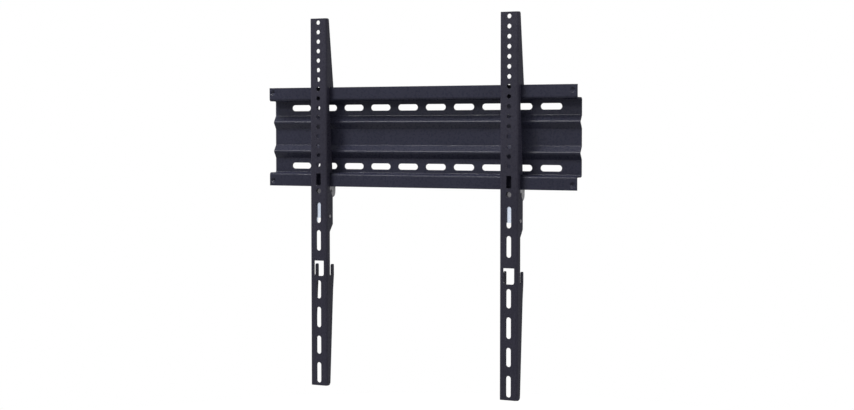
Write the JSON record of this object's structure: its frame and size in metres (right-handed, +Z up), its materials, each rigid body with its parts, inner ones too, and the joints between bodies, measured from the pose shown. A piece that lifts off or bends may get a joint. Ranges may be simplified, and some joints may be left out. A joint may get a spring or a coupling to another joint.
{
  "type": "tv wall mount",
  "caption": "Low fixed wall mount for a screen: ribbed steel plate with slots, two upright hook-on arms, and sprung latches under its lower lip.",
  "frame": {"origin": "centre of the wall plate, on the wall", "axes": "+Z up, +Y into the wall, +X to the right as seen by someone who faces the mount"},
  "size_m": [0.3786, 0.025, 0.4196],
  "materials": {
    "powder_coat": "satin charcoal powder coat with a fine grain",
    "zinc_plate": "bright zinc plate, slightly blue",
    "spring_steel": "drawn steel wire",
    "dark_steel": "dark steel pin"
  },
  "bodies": {
    "wall_plate": {"wall_plate": "powder_coat"},
    "left_arm": {"left_arm": "powder_coat", "left_guide_rivet": "dark_steel", "left_latch_spring": "spring_steel"},
    "right_arm": {"right_arm": "powder_coat", "right_guide_rivet": "dark_steel", "right_latch_spring": "spring_steel"},
    "left_latch": {"left_latch": "zinc_plate", "left_latch_pin": "dark_steel"},
    "right_latch": {"right_latch": "zinc_plate", "right_latch_pin": "dark_steel"}
  },
  "joints": [
    {"name": "left_arm_slide", "type": "slide", "parent": "wall_plate", "child": "left_arm", "axis": [1, 0, 0], "range_m": [-0.051, 0.0694]},
    {"name": "right_arm_slide", "type": "slide", "parent": "wall_plate", "child": "right_arm", "axis": [1, 0, 0], "range_m": [-0.0651, 0.0553]},
    {"name": "left_latch_slide", "type": "slide", "parent": "left_arm", "child": "left_latch", "axis": [0, 0, -1], "range_m": [0, 0.008], "stiffness_N_per_m": 250, "springref_m": -0.005, "deforming": ["left_latch_spring"]},
    {"name": "right_latch_slide", "type": "slide", "parent": "right_arm", "child": "right_latch", "axis": [0, 0, -1], "range_m": [0, 0.008], "stiffness_N_per_m": 250, "springref_m": -0.005, "deforming": ["right_latch_spring"]}
  ]
}
